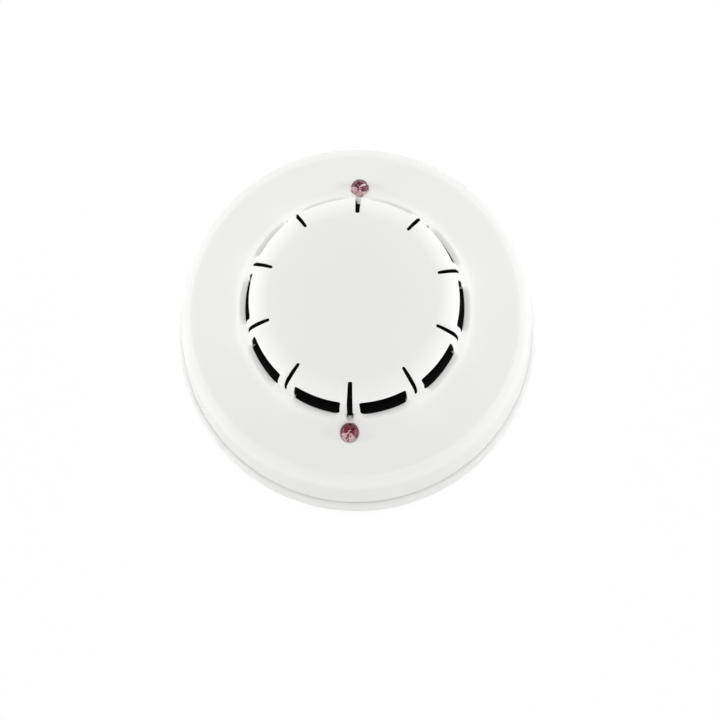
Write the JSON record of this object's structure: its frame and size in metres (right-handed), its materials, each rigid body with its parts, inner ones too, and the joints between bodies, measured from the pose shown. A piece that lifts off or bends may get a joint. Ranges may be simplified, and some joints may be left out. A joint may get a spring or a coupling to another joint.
{
  "type": "heat detector",
  "caption": "Round twist-off heat detector head with a vented, ribbed dome and indicator lamps on a round mounting base with screw terminals.",
  "frame": {"origin": "centre of the mounting base's back face, which lies against the ceiling or wall", "axes": "+Z out of the face through the dome; +Y from the centre to one lamp, -Y to the other"},
  "size_m": [0.102, 0.102, 0.045],
  "materials": {
    "white_plastic": "fine satin moulding",
    "grey_plastic": "satin moulding",
    "spring_brass": "rolled strip",
    "zinc_steel": "zinc plated",
    "tinned_brass": "tinned",
    "black_plastic": "matt black moulding",
    "board_green": "solder mask",
    "pink_lens": "clear tinted lens",
    "bead_glass": "dark glazed bead",
    "bead_epoxy": "epoxy drop",
    "capacitor_sleeve": "shrink sleeve",
    "varistor_coat": "epoxy coat",
    "resistor_coat": "lacquer",
    "moulded_package": "epoxy moulding"
  },
  "bodies": {
    "base": {"mounting_base": "white_plastic", "terminal_plate_1": "spring_brass", "terminal_plate_2": "spring_brass", "terminal_plate_3": "spring_brass", "terminal_plate_4": "spring_brass"},
    "head": {"rear_housing": "grey_plastic", "outer_cover": "white_plastic", "chamber_plate": "black_plastic", "thermistor_sleeve": "black_plastic", "contact_blade_1": "tinned_brass", "contact_blade_2": "tinned_brass", "contact_blade_3": "tinned_brass", "contact_blade_4": "tinned_brass", "circuit_board": "board_green", "thermistor": "bead_glass", "reference_thermistor": "bead_epoxy", "led_lens_upper": "pink_lens", "led_lens_lower": "pink_lens", "led_frame_upper": "tinned_brass", "led_frame_lower": "tinned_brass", "led_spacer_upper": "black_plastic", "led_spacer_lower": "black_plastic", "cover_screws": "zinc_steel", "board_screws": "zinc_steel", "capacitor": "capacitor_sleeve", "comparator_chip": "moulded_package", "bridge_rectifier": "moulded_package", "surge_varistor": "varistor_coat", "transistor_1": "moulded_package", "transistor_2": "moulded_package", "resistor_1": "resistor_coat", "resistor_2": "resistor_coat", "resistor_3": "resistor_coat", "resistor_4": "resistor_coat", "resistor_5": "resistor_coat", "resistor_6": "resistor_coat"},
    "clamp_1": {"clamp_washer_1": "zinc_steel"},
    "screw_1": {"terminal_screw_1": "zinc_steel"},
    "clamp_2": {"clamp_washer_2": "zinc_steel"},
    "screw_2": {"terminal_screw_2": "zinc_steel"},
    "clamp_3": {"clamp_washer_3": "zinc_steel"},
    "screw_3": {"terminal_screw_3": "zinc_steel"},
    "clamp_4": {"clamp_washer_4": "zinc_steel"},
    "screw_4": {"terminal_screw_4": "zinc_steel"}
  },
  "joints": [
    {"name": "head_twist", "type": "hinge", "parent": "base", "child": "head", "pos_m": [0, 0, 0.005], "axis": [0, 0, 1], "range_deg": [0, 20]},
    {"name": "clamp_1_lift", "type": "slide", "parent": "base", "child": "clamp_1", "axis": [0, 0, 1], "range_m": [0, 0.0015]},
    {"name": "screw_1_turn", "type": "hinge", "parent": "clamp_1", "child": "screw_1", "pos_m": [0.02828, 0.01556, 0.0048], "axis": [0, 0, 1], "range_deg": [0, 901]},
    {"name": "clamp_2_lift", "type": "slide", "parent": "base", "child": "clamp_2", "axis": [0, 0, 1], "range_m": [0, 0.0015]},
    {"name": "screw_2_turn", "type": "hinge", "parent": "clamp_2", "child": "screw_2", "pos_m": [-0.01556, 0.02828, 0.0048], "axis": [0, 0, 1], "range_deg": [0, 901]},
    {"name": "clamp_3_lift", "type": "slide", "parent": "base", "child": "clamp_3", "axis": [0, 0, 1], "range_m": [0, 0.0015]},
    {"name": "screw_3_turn", "type": "hinge", "parent": "clamp_3", "child": "screw_3", "pos_m": [-0.02828, -0.01556, 0.0048], "axis": [0, 0, 1], "range_deg": [0, 901]},
    {"name": "clamp_4_lift", "type": "slide", "parent": "base", "child": "clamp_4", "axis": [0, 0, 1], "range_m": [0, 0.0015]},
    {"name": "screw_4_turn", "type": "hinge", "parent": "clamp_4", "child": "screw_4", "pos_m": [0.01556, -0.02828, 0.0048], "axis": [0, 0, 1], "range_deg": [0, 901]}
  ],
  "couplings": [
    {"joint": "screw_1_turn", "follows": "clamp_1_lift", "rad_per_m": 10472},
    {"joint": "screw_2_turn", "follows": "clamp_2_lift", "rad_per_m": 10472},
    {"joint": "screw_3_turn", "follows": "clamp_3_lift", "rad_per_m": 10472},
    {"joint": "screw_4_turn", "follows": "clamp_4_lift", "rad_per_m": 10472}
  ]
}
